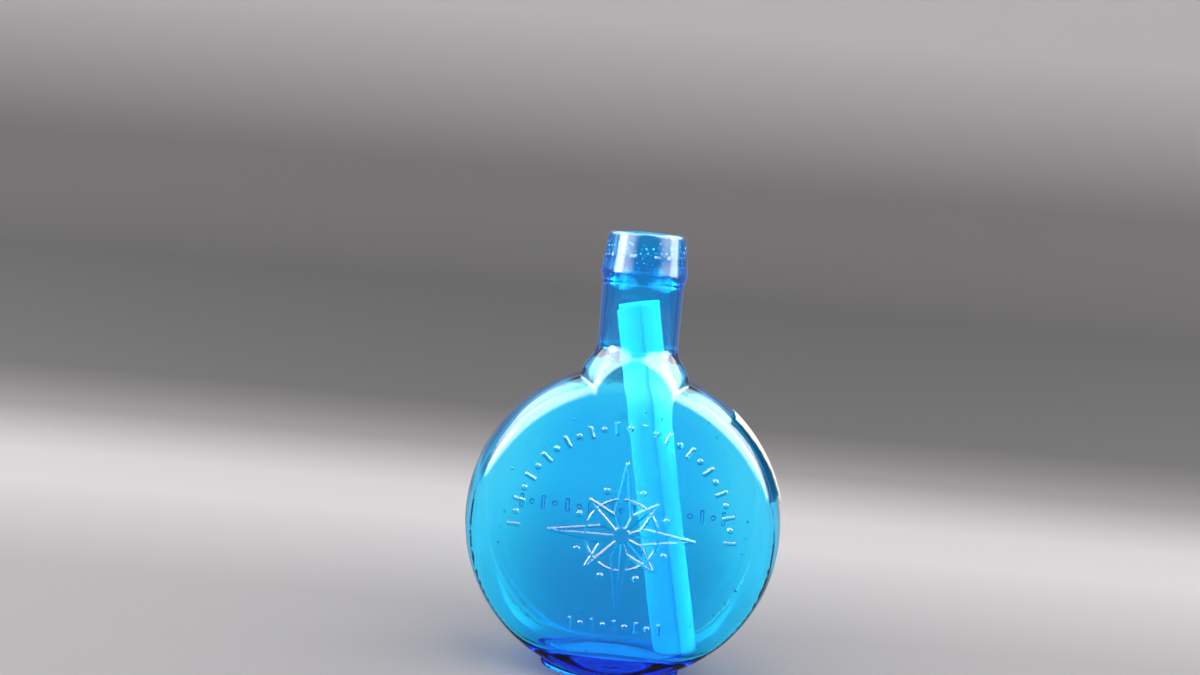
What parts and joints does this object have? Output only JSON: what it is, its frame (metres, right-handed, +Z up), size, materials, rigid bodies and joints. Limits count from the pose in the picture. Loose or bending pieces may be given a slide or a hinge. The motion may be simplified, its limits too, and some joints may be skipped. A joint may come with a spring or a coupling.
{
  "type": "glass canteen flask",
  "caption": "Flat-sided round glass canteen flask with ball shoulder, collared neck and oval foot, open at the mouth, with a rolled paper sheet inside and a paper label on the rim.",
  "frame": {"origin": "centre of the underside of the foot, on the surface the flask stands on", "axes": "+Z up the neck, -Y out of the front face, +X to the right seen from the front"},
  "size_m": [0.0996, 0.03, 0.14],
  "materials": {
    "blue_glass": "clear turquoise blue pressed glass, glossy",
    "roll_paper": "plain white writing paper, matt",
    "label_paper": "cream label paper, slightly aged"
  },
  "bodies": {
    "flask": {"glass_bottle": "blue_glass", "rim_label": "label_paper"},
    "roll": {"paper_roll": "roll_paper"}
  },
  "joints": [
    {"name": "roll_lean", "type": "hinge", "parent": "flask", "child": "roll", "pos_m": [0, 0, 0.11148], "axis": [0, 1, 0], "range_deg": [0, 21.8]}
  ]
}
